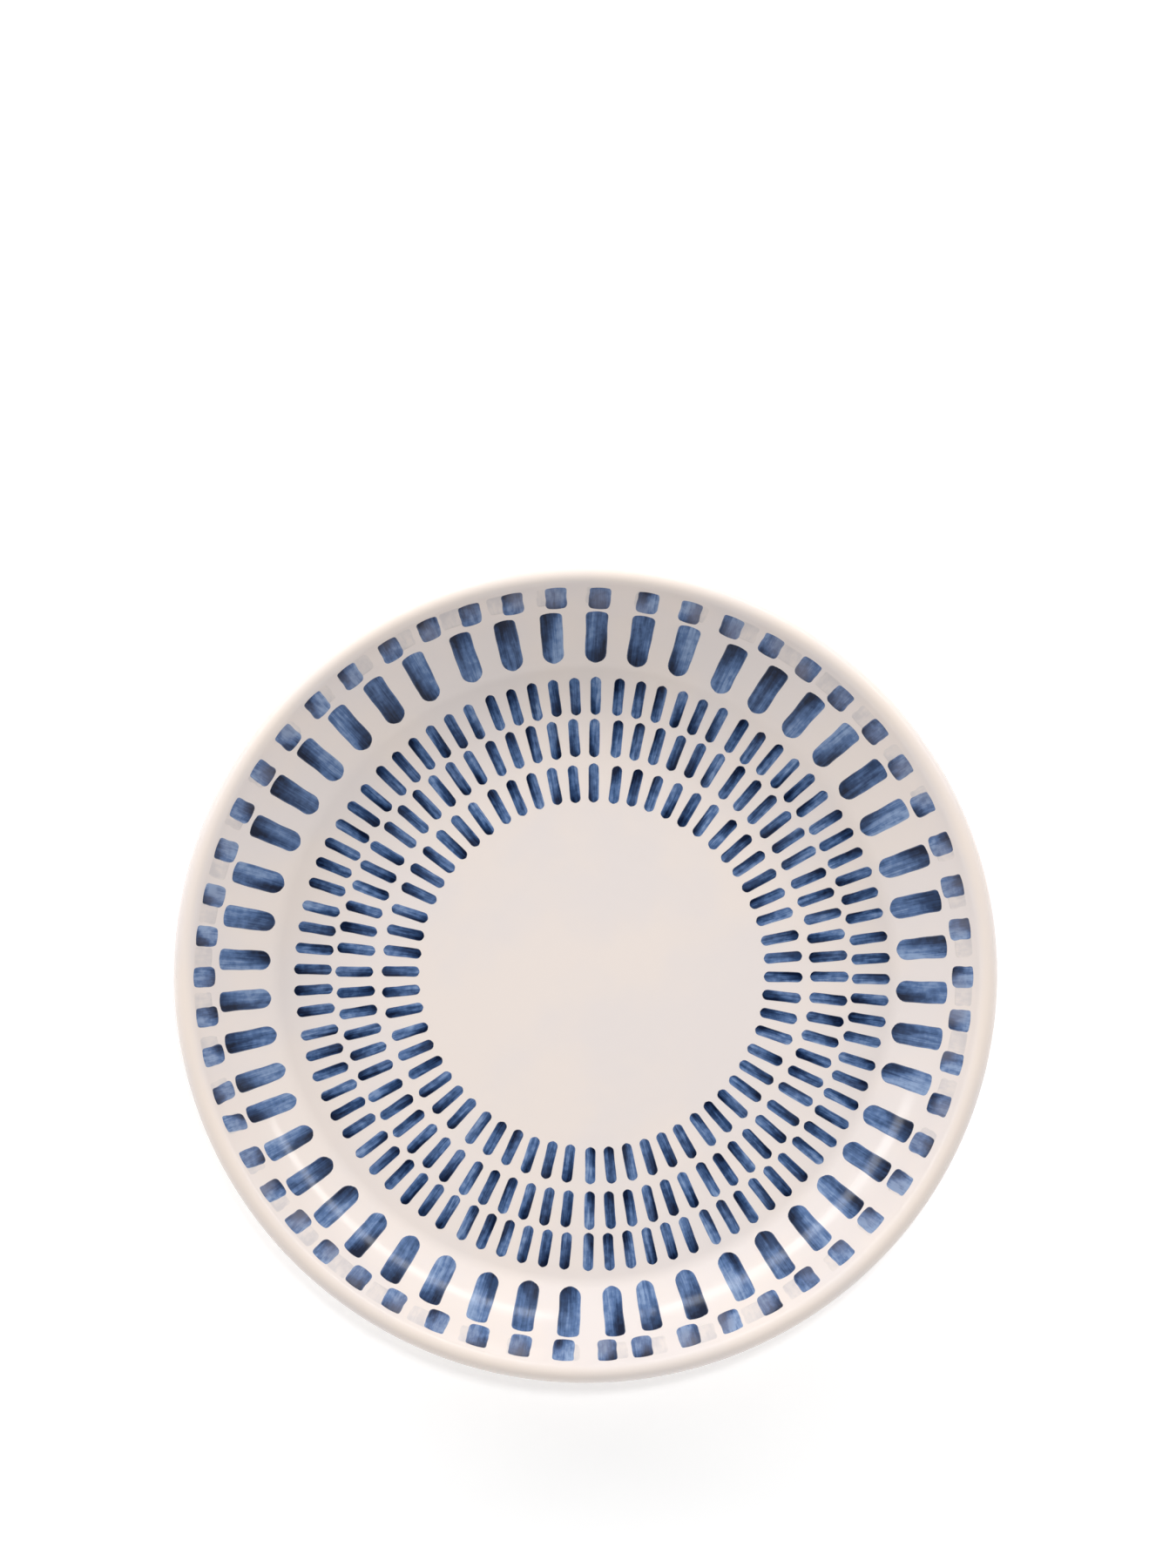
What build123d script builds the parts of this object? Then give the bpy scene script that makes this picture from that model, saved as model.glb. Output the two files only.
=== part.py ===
from build123d import *
import math
import os

# A hand painted ceramic plate in millimetres, +Z up, resting on its foot ring.
# The origin is on the plate's axis, in the plane that the foot rests on.
# The plate is a clay body under a cream glaze, and every brush stroke is a thin
# solid of fired paint that lies face to face on the glaze and follows its curve.

# Overall size, measured over the glaze.
PLATE_DIAMETER = 280.0
PLATE_HEIGHT = 35.0

# Clay body: a flat well, a heel that turns up into the wall, a concave wall and a round lip.
# The well's size is a share of the plate's, and the heel ends at a share of the wall's mean slope.
WELL_SHARE = 0.75
CLAY_THICKNESS = 5.0
HEEL_RADIUS = 9.0
HEEL_SLOPE_SHARE = 0.788
LIP_RADIUS = 3.2

# Turned foot ring under the well, set in from the well's edge.
FOOT_INSET = 17.0
FOOT_WIDTH = 6.0
FOOT_HEIGHT = 4.0
FOOT_FILLET = 2.0
FOOT_EDGE_RADIUS = 1.0

# Glaze and paint. The foot is wiped bare up to the glaze line.
GLAZE_THICKNESS = 0.4
GLAZE_LINE_HEIGHT = 1.6
PAINT_THICKNESS = 0.12

# Three rings of short dashes in the well: groups of six, and the angle of the first dash.
# The gaps lie between the well's edge and the outer ring, and from each ring to the next.
DASH_LENGTH = 13.5
DASH_WIDTH = 3.6
EDGE_TO_OUTER_RING_GAP = 1.85
OUTER_TO_MIDDLE_RING_GAP = 0.9
MIDDLE_TO_INNER_RING_GAP = 2.3
INNER_RING_GROUPS = 10
INNER_RING_START = 17.5
MIDDLE_RING_GROUPS = 12
MIDDLE_RING_START = 29.4
OUTER_RING_GROUPS = 14
OUTER_RING_START = 12.1
# The three rings were set down together, a little to one side of the plate's axis.
WELL_PATTERN_SHIFT = 2.2
# The strokes on the wall lie a hair to the other side.
RIM_PATTERN_SHIFT = -0.6

# Long strokes up the wall, from just past the well's edge to just short of the squares.
# Lengths and gaps on the wall are seen from straight above.
WALL_STROKE_COUNT = 49
WALL_STROKE_WIDTH = 7.9
WALL_STROKE_INNER_WIDTH = 7.2
WELL_TO_STROKE_GAP = 2.9
STROKE_TO_SQUARE_GAP = 0.7

# Short square strokes under the lip, and the pale washes in the same ring.
RIM_SQUARE_COUNT = 55
RIM_SQUARE_LENGTH = 6.8
RIM_SQUARE_WIDTH = 7.4
SQUARE_TO_LIP_GAP = 0.1
RIM_WASH_LENGTH = 5.4
RIM_WASH_WIDTH = 8.2
RIM_WASH_INSET = 1.4
# What shows of a wash beside the square painted over it is left out where it is only a hairline.
HAIRLINE_WIDTH = 0.6

# Strokes come in groups of six with a wider gap between groups.
GROUP_SIZE = 6
DASH_GROUP_GAP = 0.112
RIM_GROUP_GAP = 0.10

# Round the rim the painted band closes on itself at a seam, where it is squeezed together.
# Pinches and the squeeze are shares of an even step, and the reach is a number of strokes.
SEAM_ANGLE = 203.2
SEAM_PINCH = 0.14
SEAM_SQUEEZE = 0.12
SEAM_SQUEEZE_REACH = 5.0
SHORT_GAP_ANGLE = 276.5
SHORT_GAP_PINCH = 0.2

# Corner radii of the broad strokes. A wall stroke's inner end is nearly a half circle.
OUTER_CORNER_RADIUS = 1.5
INNER_CORNER_SHARE = 0.46
SQUARE_INNER_CORNER_RADIUS = 2.2
WASH_CORNER_RADIUS = 1.0

# Each ring's strokes are cut from a layer of paint that is this much wider at both edges.
RING_MARGIN = 1.0

# Values that follow from the sizes above. Profile points are (radius, height).
UNDERSIDE_HEIGHT = FOOT_HEIGHT
FLOOR_HEIGHT = FOOT_HEIGHT + CLAY_THICKNESS
WELL_RADIUS = WELL_SHARE * PLATE_DIAMETER / 2
FOOT_OUTER_RADIUS = WELL_RADIUS - FOOT_INSET
FOOT_INNER_RADIUS = FOOT_OUTER_RADIUS - FOOT_WIDTH
LIP_CENTRE = (
    PLATE_DIAMETER / 2 - GLAZE_THICKNESS - LIP_RADIUS,
    PLATE_HEIGHT - GLAZE_THICKNESS - LIP_RADIUS,
)
HEEL_CENTRE = (WELL_RADIUS, FLOOR_HEIGHT + HEEL_RADIUS)
MEAN_WALL_SLOPE = math.degrees(math.atan2(LIP_CENTRE[1] - FLOOR_HEIGHT, LIP_CENTRE[0] - WELL_RADIUS))
HEEL_SLOPE = HEEL_SLOPE_SHARE * MEAN_WALL_SLOPE
OUTER_RING_RADIUS = WELL_RADIUS - EDGE_TO_OUTER_RING_GAP - DASH_LENGTH / 2
MIDDLE_RING_RADIUS = OUTER_RING_RADIUS - DASH_LENGTH - OUTER_TO_MIDDLE_RING_GAP
INNER_RING_RADIUS = MIDDLE_RING_RADIUS - DASH_LENGTH - MIDDLE_TO_INNER_RING_GAP


def along_slope(point, slope, distance):
    """The point a distance away from another, square to a surface that climbs at a slope."""
    angle = math.radians(slope)
    return (point[0] + distance * math.sin(angle), point[1] - distance * math.cos(angle))


def wall_circle(start, lip_side):
    """The circle that leaves a point at the heel's slope and meets the lip's circle smoothly.

    lip_side is +1 where the lip lies outside the circle, as at the front of the wall,
    and -1 where it lies inside, as at the back. Returns the centre, the radius and the
    slope at which the two circles meet.
    """
    dx = LIP_CENTRE[0] - start[0]
    dy = LIP_CENTRE[1] - start[1]
    angle = math.radians(HEEL_SLOPE)
    climb = dy * math.cos(angle) - dx * math.sin(angle)
    radius = (dx * dx + dy * dy - LIP_RADIUS**2) / (2 * (climb + lip_side * LIP_RADIUS))
    centre = along_slope(start, HEEL_SLOPE, -radius)
    meeting = math.degrees(math.atan2(LIP_CENTRE[0] - centre[0], centre[1] - LIP_CENTRE[1]))
    return centre, radius, meeting


FRONT_START = along_slope(HEEL_CENTRE, HEEL_SLOPE, HEEL_RADIUS)
BACK_START = along_slope(HEEL_CENTRE, HEEL_SLOPE, HEEL_RADIUS + CLAY_THICKNESS)
FRONT_CENTRE, FRONT_RADIUS, FRONT_SLOPE = wall_circle(FRONT_START, 1)
BACK_CENTRE, BACK_RADIUS, BACK_SLOPE = wall_circle(BACK_START, -1)
PAINT_FACE_RADIUS = FRONT_RADIUS - GLAZE_THICKNESS - PAINT_THICKNESS
WALL_TOP_RADIUS = FRONT_CENTRE[0] + PAINT_FACE_RADIUS * math.sin(math.radians(FRONT_SLOPE))
SQUARE_OUTER_RADIUS = WALL_TOP_RADIUS - SQUARE_TO_LIP_GAP - abs(RIM_PATTERN_SHIFT)
SQUARE_INNER_RADIUS = SQUARE_OUTER_RADIUS - RIM_SQUARE_LENGTH
WASH_INNER_RADIUS = SQUARE_INNER_RADIUS + RIM_WASH_INSET
WALL_STROKE_INNER_RADIUS = WELL_RADIUS + WELL_TO_STROKE_GAP
WALL_STROKE_OUTER_RADIUS = SQUARE_INNER_RADIUS - STROKE_TO_SQUARE_GAP


def front_edges(skin):
    """The front of the plate from its axis to the wall's top, at a distance above the clay."""
    height = FLOOR_HEIGHT + skin
    return [
        Line((0, height), (WELL_RADIUS, height)),
        CenterArc(HEEL_CENTRE, HEEL_RADIUS - skin, -90, HEEL_SLOPE),
        CenterArc(FRONT_CENTRE, FRONT_RADIUS - skin, HEEL_SLOPE - 90, FRONT_SLOPE - HEEL_SLOPE),
    ]


def clay_section():
    """Half of the clay body cut through its axis, foot ring included."""
    lip_turn = 180 + FRONT_SLOPE - BACK_SLOPE
    underside = FilletPolyline(
        (WELL_RADIUS, UNDERSIDE_HEIGHT),
        (FOOT_OUTER_RADIUS, UNDERSIDE_HEIGHT),
        (FOOT_OUTER_RADIUS, 0),
        (FOOT_INNER_RADIUS, 0),
        (FOOT_INNER_RADIUS, UNDERSIDE_HEIGHT),
        (0, UNDERSIDE_HEIGHT),
        radius=[FOOT_FILLET, FOOT_EDGE_RADIUS, FOOT_EDGE_RADIUS, FOOT_FILLET],
    )
    edges = front_edges(0) + [
        CenterArc(LIP_CENTRE, LIP_RADIUS, 90 + FRONT_SLOPE, -lip_turn),
        CenterArc(BACK_CENTRE, BACK_RADIUS, BACK_SLOPE - 90, HEEL_SLOPE - BACK_SLOPE),
        CenterArc(HEEL_CENTRE, HEEL_RADIUS + CLAY_THICKNESS, HEEL_SLOPE - 90, -HEEL_SLOPE),
        underside,
        Line((0, UNDERSIDE_HEIGHT), (0, FLOOR_HEIGHT)),
    ]
    return make_face(edges)


def block_section(inner, outer, low, high):
    """A rectangle between two radii and two heights."""
    centre = Pos((inner + outer) / 2, (low + high) / 2)
    return centre * Rectangle(outer - inner, high - low)


def turned(section):
    """A solid of revolution about the plate's axis."""
    return revolve(Plane.XZ * section, Axis.Z, 360)


def glaze_sections(clay):
    """The glaze round the clay, with the bare foot taken out, in two parts.

    The first is the coat over the front, the lip and the outside, the second is
    the glaze inside the foot ring.
    """
    reach = PLATE_DIAMETER
    half = block_section(0, reach, -reach, reach)
    shell = (offset(clay, GLAZE_THICKNESS) - clay) & half
    bare_foot = block_section(
        FOOT_INNER_RADIUS - FOOT_FILLET,
        FOOT_OUTER_RADIUS + FOOT_FILLET,
        -FOOT_HEIGHT,
        GLAZE_LINE_HEIGHT,
    )
    parts = (shell - bare_foot).faces().sort_by(Axis.Y)
    return parts[-1], parts[0]


def paint_layer(inner, outer):
    """A layer of paint all over the front of the glaze, between two radii."""
    bottom = front_edges(GLAZE_THICKNESS)
    top = front_edges(GLAZE_THICKNESS + PAINT_THICKNESS)
    sides = [Line(bottom[-1] @ 1, top[-1] @ 1), Line(top[0] @ 0, bottom[0] @ 0)]
    section = make_face(bottom + top + sides)
    return turned(section & block_section(inner, outer, 0, 2 * PLATE_HEIGHT))


def dash_angles(groups, start):
    """Angles of a ring of dashes: groups of six with a slightly wider gap after each."""
    period = 360 / groups
    step = period / (GROUP_SIZE + DASH_GROUP_GAP)
    return [start + group * period + member * step for group in range(groups) for member in range(GROUP_SIZE)]


def rim_steps(count):
    """The gap after each rim stroke, as shares of an even step, from the seam round to it again."""
    even_step = 360 / count
    short_gap_at = round((SHORT_GAP_ANGLE - SEAM_ANGLE) / even_step)
    steps = []
    for index in range(count):
        from_seam = min(index + 1, count - 1 - index)
        step = 1 - SEAM_SQUEEZE * math.exp(-((from_seam / SEAM_SQUEEZE_REACH) ** 2))
        if from_seam == 0:
            step -= SEAM_PINCH
        elif index and index % GROUP_SIZE == 0:
            step += RIM_GROUP_GAP
        if index == short_gap_at:
            step -= SHORT_GAP_PINCH
        steps.append(step)
    return steps


def rim_places(count):
    """Angle of each rim stroke and how much its band is squeezed there, as a share of full width."""
    steps = rim_steps(count)
    whole_turn = 360 / sum(steps)
    places = []
    angle = SEAM_ANGLE
    for index, step in enumerate(steps):
        places.append((angle, min(1.0, (step + steps[index - 1]) / 2)))
        angle += step * whole_turn
    return places


def broad_stroke(inner_radius, length, widths, corners):
    """Outline of a broad stroke that points away from the axis.

    widths and corners each give the inner end's value first, then the outer end's.
    """
    outer_radius = inner_radius + length
    half_inner, half_outer = widths[0] / 2, widths[1] / 2
    outline = Polygon(
        (inner_radius, -half_inner),
        (outer_radius, -half_outer),
        (outer_radius, half_outer),
        (inner_radius, half_inner),
        align=None,
    )
    outline = fillet(outline.vertices().sort_by(Axis.X)[2:], corners[1])
    return fillet(outline.vertices().sort_by(Axis.X)[:2], corners[0])


def prism(outline, angle, shift):
    """An outline turned about its ring's centre, which is shifted, and drawn up through the whole plate."""
    return extrude(Pos(shift, 0) * Rot(0, 0, angle) * outline, 2 * PLATE_HEIGHT)


def dash_ring(ring_radius, groups, start):
    """One ring of short dashes in the well, round at both ends."""
    outline = Pos(ring_radius, 0) * SlotOverall(DASH_LENGTH, DASH_WIDTH)
    reach = DASH_LENGTH / 2 + abs(WELL_PATTERN_SHIFT) + DASH_WIDTH
    layer = paint_layer(ring_radius - reach, ring_radius + reach)
    return [layer & prism(outline, angle, WELL_PATTERN_SHIFT) for angle in dash_angles(groups, start)]


def wall_ring():
    """The long strokes up the wall, squarish at the top and round at the bottom."""
    layer = paint_layer(WALL_STROKE_INNER_RADIUS - RING_MARGIN, WALL_STROKE_OUTER_RADIUS + RING_MARGIN)
    length = WALL_STROKE_OUTER_RADIUS - WALL_STROKE_INNER_RADIUS
    strokes = []
    for angle, squeeze in rim_places(WALL_STROKE_COUNT):
        widths = (WALL_STROKE_INNER_WIDTH * squeeze, WALL_STROKE_WIDTH * squeeze)
        corners = (widths[0] * INNER_CORNER_SHARE, OUTER_CORNER_RADIUS)
        outline = broad_stroke(WALL_STROKE_INNER_RADIUS, length, widths, corners)
        strokes.append(layer & prism(outline, angle, RIM_PATTERN_SHIFT))
    return strokes


def square_prisms():
    """The blue squares under the lip, drawn up through the plate, in order from the seam."""
    prisms = []
    for angle, squeeze in rim_places(RIM_SQUARE_COUNT):
        width = RIM_SQUARE_WIDTH * squeeze
        corners = (SQUARE_INNER_CORNER_RADIUS, OUTER_CORNER_RADIUS)
        outline = broad_stroke(SQUARE_INNER_RADIUS, RIM_SQUARE_LENGTH, (width, width), corners)
        prisms.append(prism(outline, angle, RIM_PATTERN_SHIFT))
    return prisms


def square_ring(squares):
    """The blue squares under the lip."""
    layer = paint_layer(SQUARE_INNER_RADIUS - RING_MARGIN, SQUARE_OUTER_RADIUS + RING_MARGIN)
    return [layer & square for square in squares]


def wash_ring(squares):
    """What shows of the pale washes, which the blue squares were painted over."""
    layer = paint_layer(SQUARE_INNER_RADIUS - RING_MARGIN, SQUARE_OUTER_RADIUS + RING_MARGIN)
    square_angles = [angle for angle, _ in rim_places(RIM_SQUARE_COUNT)]
    smallest = HAIRLINE_WIDTH * RIM_WASH_LENGTH * PAINT_THICKNESS
    washes = []
    for angle, squeeze in rim_places(WALL_STROKE_COUNT):
        width = RIM_WASH_WIDTH * squeeze
        corners = (WASH_CORNER_RADIUS, WASH_CORNER_RADIUS)
        outline = broad_stroke(WASH_INNER_RADIUS, RIM_WASH_LENGTH, (width, width), corners)
        wash = layer & prism(outline, angle, RIM_PATTERN_SHIFT)
        for square, square_angle in zip(squares, square_angles):
            apart = abs((square_angle - angle + 180) % 360 - 180)
            if apart < 360 / RIM_SQUARE_COUNT + 360 / WALL_STROKE_COUNT:
                wash = wash - square
        washes += [piece for piece in wash.solids() if piece.volume > smallest]
    return washes


def save(name, solids):
    """Write one sub-part, a single solid or a group of alike ones, to its own file."""
    shape = solids[0] if len(solids) == 1 else Compound(children=solids)
    export_step(shape, f"parts/{name}.step")


def main():
    """Build every sub-part and write its file."""
    os.makedirs("parts", exist_ok=True)
    clay = clay_section()
    coat_section, base_section = glaze_sections(clay)
    squares = square_prisms()
    save("clay_body", [turned(clay)])
    save("glaze_coat", [turned(coat_section)])
    save("base_glaze", [turned(base_section)])
    save("inner_dashes", dash_ring(INNER_RING_RADIUS, INNER_RING_GROUPS, INNER_RING_START))
    save("middle_dashes", dash_ring(MIDDLE_RING_RADIUS, MIDDLE_RING_GROUPS, MIDDLE_RING_START))
    save("outer_dashes", dash_ring(OUTER_RING_RADIUS, OUTER_RING_GROUPS, OUTER_RING_START))
    save("wall_strokes", wall_ring())
    save("rim_squares", square_ring(squares))
    save("rim_washes", wash_ring(squares))


main()
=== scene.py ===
"""Looks for a hand painted ceramic plate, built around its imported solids.

The plate lies on its foot. It is turned pottery under a glossy cream glaze, painted with three rings of
short dashes in the well, a ring of long strokes up the wall and a ring of squares and pale washes under
the lip. Every piece is a surface worked out with numpy on the same turned shape, in metres, +Z up.
"""

import logging
import math
from dataclasses import dataclass
from enum import Enum

import bmesh
import bpy
import numpy as np
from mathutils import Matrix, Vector


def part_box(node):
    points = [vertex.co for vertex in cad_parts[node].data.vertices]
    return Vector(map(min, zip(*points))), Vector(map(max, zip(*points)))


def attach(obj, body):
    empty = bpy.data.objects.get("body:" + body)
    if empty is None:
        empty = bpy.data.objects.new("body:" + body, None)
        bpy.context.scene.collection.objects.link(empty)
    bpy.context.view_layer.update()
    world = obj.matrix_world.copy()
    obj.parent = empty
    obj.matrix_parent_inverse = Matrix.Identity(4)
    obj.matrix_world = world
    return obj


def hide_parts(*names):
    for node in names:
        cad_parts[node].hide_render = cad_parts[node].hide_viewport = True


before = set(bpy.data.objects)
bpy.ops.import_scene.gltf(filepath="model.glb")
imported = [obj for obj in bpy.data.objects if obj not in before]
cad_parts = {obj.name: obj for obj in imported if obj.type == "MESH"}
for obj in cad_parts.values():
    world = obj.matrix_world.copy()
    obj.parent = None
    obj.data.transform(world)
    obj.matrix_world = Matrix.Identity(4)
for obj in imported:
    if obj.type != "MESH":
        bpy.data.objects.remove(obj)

log = logging.getLogger("plate")

MM = 0.001
# The body that every piece rides on.
ROOT = "root"
# A quarter turn, which is straight up on a circle of the profile.
UP = math.pi / 2
# Edges that turn by more than this stay sharp.
SHARP_FROM = math.radians(50.0)
# Steps round the axis, for the coat in full view and for what lies under it.
COAT_SEGMENTS, HIDDEN_SEGMENTS = 448, 256
# Strokes from one slightly wider gap to the next.
GROUP_SIZE = 6
WALL_STROKE_COUNT, RIM_SQUARE_COUNT = 49, 55
# Where the painter closed the rim's rings, and where one of their gaps is short.
SEAM, SHORT_GAP = math.radians(203.2), math.radians(276.5)
# How far the centre of the rim's rings lies to the plate's +X side.
RIM_SHIFT = -0.6 * MM
# The gloss that lies over the glaze and the paint alike.
GLOSS, GLAZE_IOR = 0.12, 1.43


# ---- Shape of the turned pottery ----


@dataclass(frozen=True)
class Circle:
    """A circle of the profile.

    Attributes:
        radius_at: Its centre's distance from the plate's axis.
        height: Its centre's height.
        size: Its radius.
    """

    radius_at: float
    height: float
    size: float

    def arc(self, start: float, stop: float, skin: float, steps: int) -> np.ndarray:
        """Rows of (radius, height) between two angles from straight out, a skin outside the circle."""
        angle = np.linspace(start, stop, steps + 1)
        size = self.size + skin
        return np.column_stack((self.radius_at + size * np.cos(angle), self.height + size * np.sin(angle)))


def level(start: float, stop: float, height: float, steps: int) -> np.ndarray:
    """Profile points on a level line from one distance from the axis to another."""
    radius = np.linspace(start, stop, steps + 1)
    return np.column_stack((radius, np.full_like(radius, height)))


def joined(*runs: np.ndarray) -> np.ndarray:
    """One profile from several, with each point that repeats the one before it left out."""
    profile = np.concatenate(runs)
    apart = np.linalg.norm(np.diff(profile, axis=0), axis=1)
    return profile[np.concatenate(([True], apart > MM * MM))]


@dataclass(frozen=True)
class PlateShape:
    """The turned profile: a flat well, a heel, a concave wall, a round lip and a foot ring.

    Attributes:
        outer_radius: Plate's radius over the glaze.
        height: Plate's height over the glaze.
        foot_inner: Inner radius of the foot ring.
        foot_height: Height of the foot ring.
        glaze_line: Height up to which the foot is bare.
        foot_width: Width of the foot ring.
        well_share: Radius of the flat well, as a share of the plate's.
        clay: Thickness of the clay.
        glaze: Thickness of the glaze.
        heel_radius: Radius of the bend between well and wall.
        heel_share: Slope at which the heel becomes the wall, as a share of the wall's mean slope.
        lip_radius: Radius of the round lip, in clay.
        foot_fillet: Radius of the inner corners at the foot.
        foot_edge: Radius of the foot's own edges.
        oval: How much wider than deep the plate is, as a share of its radius.
        lip_rise: How far the lip rises and falls round the plate.
        ripple: Height of the finger ripples left by turning.
        ripple_length: Distance from ripple to ripple.
    """

    outer_radius: float
    height: float
    foot_inner: float
    foot_height: float
    glaze_line: float
    foot_width: float = 6.0 * MM
    well_share: float = 0.75
    clay: float = 5.0 * MM
    glaze: float = 0.4 * MM
    heel_radius: float = 9.0 * MM
    heel_share: float = 0.788
    lip_radius: float = 3.2 * MM
    foot_fillet: float = 2.0 * MM
    foot_edge: float = 1.0 * MM
    oval: float = 0.0033
    lip_rise: float = 0.3 * MM
    ripple: float = 0.012 * MM
    ripple_length: float = 6.5 * MM

    @classmethod
    def from_frame(cls) -> "PlateShape":
        """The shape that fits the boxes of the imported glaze."""
        coat_low, coat_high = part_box("glaze_coat")
        _, base_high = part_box("base_glaze")
        return cls(coat_high.x, coat_high.z, base_high.x, base_high.z, coat_low.z)

    @property
    def well_radius(self) -> float:
        """Radius of the flat well."""
        return self.well_share * self.outer_radius

    @property
    def foot_outer(self) -> float:
        """Outer radius of the foot ring."""
        return self.foot_inner + self.foot_width

    @property
    def floor(self) -> float:
        """Height of the clay's upper side in the well."""
        return self.foot_height + self.clay

    @property
    def lip(self) -> Circle:
        """The circle of the lip."""
        inset = self.glaze + self.lip_radius
        return Circle(self.outer_radius - inset, self.height - inset, self.lip_radius)

    @property
    def heel(self) -> Circle:
        """The circle that the front of the heel follows."""
        return Circle(self.well_radius, self.floor + self.heel_radius, self.heel_radius)

    @property
    def heel_slope(self) -> float:
        """Slope in radians at which the heel becomes the wall."""
        rise, run = self.lip.height - self.floor, self.lip.radius_at - self.well_radius
        return self.heel_share * math.atan2(rise, run)

    def wall(self, front: bool) -> tuple[Circle, float]:
        """The circle of one side of the wall, which meets the heel and the lip smoothly.

        The circle leaves the heel's end E square to the slope, so its centre is E + R n, and it touches
        the lip's circle, so the centres are R + r apart at the front and R - r at the back. Both give R.

        Args:
            front: True for the side that the food touches.

        Returns:
            The circle, and the slope in radians at which it meets the lip.
        """
        reach = self.heel_radius + (0.0 if front else self.clay)
        inwards = np.array([-math.sin(self.heel_slope), math.cos(self.heel_slope)])
        end = np.array([self.heel.radius_at, self.heel.height]) - reach * inwards
        lip = np.array([self.lip.radius_at, self.lip.height])
        to_lip = lip - end
        side = self.lip_radius if front else -self.lip_radius
        size = float((to_lip @ to_lip - self.lip_radius**2) / (2 * (to_lip @ inwards + side)))
        centre = end + size * inwards
        slope = math.atan2(lip[0] - centre[0], centre[1] - lip[1])
        return Circle(float(centre[0]), float(centre[1]), size), slope

    def wall_top(self) -> float:
        """Distance from the axis at which the glazed wall becomes the lip."""
        wall, slope = self.wall(front=True)
        return wall.radius_at + (wall.size - self.glaze) * math.sin(slope)

    def front_height(self, radius: np.ndarray, lift: np.ndarray) -> np.ndarray:
        """Heights of points a lift off the glazed front, at given distances from the axis.

        The floor is level out to the well's edge. Past it z = c - sqrt(R^2 - (r - a)^2), first on the
        heel's circle and then on the wall's, each drawn in by the glaze and the lift.
        """
        skin = self.glaze + lift
        wall, _ = self.wall(front=True)
        wall_starts = self.well_radius + (self.heel_radius - skin) * math.sin(self.heel_slope)

        def lower_side(circle: Circle) -> np.ndarray:
            """Height of the circle's lower side."""
            size = circle.size - skin
            across = np.clip(radius - circle.radius_at, 0.0, size)
            return circle.height - np.sqrt(size**2 - across**2)

        curved = np.where(radius < wall_starts, lower_side(self.heel), lower_side(wall))
        return np.where(radius < self.well_radius, self.floor + skin, curved)

    def over_the_lip(self, skin: float) -> np.ndarray:
        """The profile from the axis over the front, lip and back to the foot, a skin outside the clay."""
        front, front_slope = self.wall(front=True)
        back, back_slope = self.wall(front=False)
        heel_back = Circle(self.heel.radius_at, self.heel.height, self.heel_radius + self.clay)
        fillet = self.foot_fillet
        corner = Circle(self.foot_outer + fillet, self.foot_height - fillet, fillet)
        fine = 1 if skin <= 0 else 2
        return joined(
            level(0.0, self.well_radius, self.floor + skin, 40 * fine),
            self.heel.arc(-UP, self.heel_slope - UP, -skin, 6 * fine),
            front.arc(self.heel_slope - UP, front_slope - UP, -skin, 18 * fine),
            self.lip.arc(UP + front_slope, back_slope - UP, skin, 10 * fine),
            back.arc(back_slope - UP, self.heel_slope - UP, skin, 10 * fine),
            heel_back.arc(self.heel_slope - UP, -UP, skin, 4 * fine),
            level(self.well_radius, corner.radius_at, self.foot_height - skin, 3 * fine),
            corner.arc(UP, 2 * UP, -skin, 4 * fine),
        )

    def under_the_foot(self) -> np.ndarray:
        """The bare part of the foot ring, from its outer glaze line round to its inner one."""
        outer = Circle(self.foot_outer - self.foot_edge, self.foot_edge, self.foot_edge)
        inner = Circle(self.foot_inner + self.foot_edge, self.foot_edge, self.foot_edge)
        return joined(
            np.array([[self.foot_outer, self.glaze_line]]),
            outer.arc(0.0, -UP, 0.0, 5),
            level(outer.radius_at, inner.radius_at, 0.0, 6),
            inner.arc(-UP, -2 * UP, 0.0, 5),
            np.array([[self.foot_inner, self.glaze_line]]),
        )

    def underside(self, skin: float) -> np.ndarray:
        """The profile inside the foot ring, from its corner in to the axis, a skin outside the clay."""
        fillet = self.foot_fillet
        corner = Circle(self.foot_inner - fillet, self.foot_height - fillet, fillet)
        flat = level(corner.radius_at, 0.0, self.foot_height - skin, 40)
        return joined(corner.arc(0.0, UP, -skin, 6), flat)

    def by_hand(self, points: np.ndarray) -> np.ndarray:
        """The small faults of a plate turned by hand, the same for every piece that lies on it.

        x grows and y shrinks by the oval's share times (r / R)^2. The height gains a sum of three waves
        round the plate, times (r / R)^4, and a fine spiral ripple, and both fade out towards the foot.
        """
        radius = np.hypot(points[:, 0], points[:, 1])
        angle = np.arctan2(points[:, 1], points[:, 0])
        share = (radius / self.outer_radius) ** 2
        above_foot = np.clip(points[:, 2] / self.floor, 0.0, 1.0)
        waves = 0.5 * np.sin(2 * angle + 0.6) + 0.3 * np.sin(3 * angle + 2.1) + 0.2 * np.sin(5 * angle + 4.0)
        turns = np.sin(2 * math.pi * radius / self.ripple_length + angle)
        fading = np.clip(radius / (3 * self.ripple_length), 0.0, 1.0)
        rise = self.lip_rise * waves * share**2 + self.ripple * turns * fading
        moved = points.copy()
        moved[:, 0] *= 1 + self.oval * share
        moved[:, 1] *= 1 - self.oval * share
        moved[:, 2] += rise * above_foot
        return moved


# ---- Meshes ----


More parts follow.
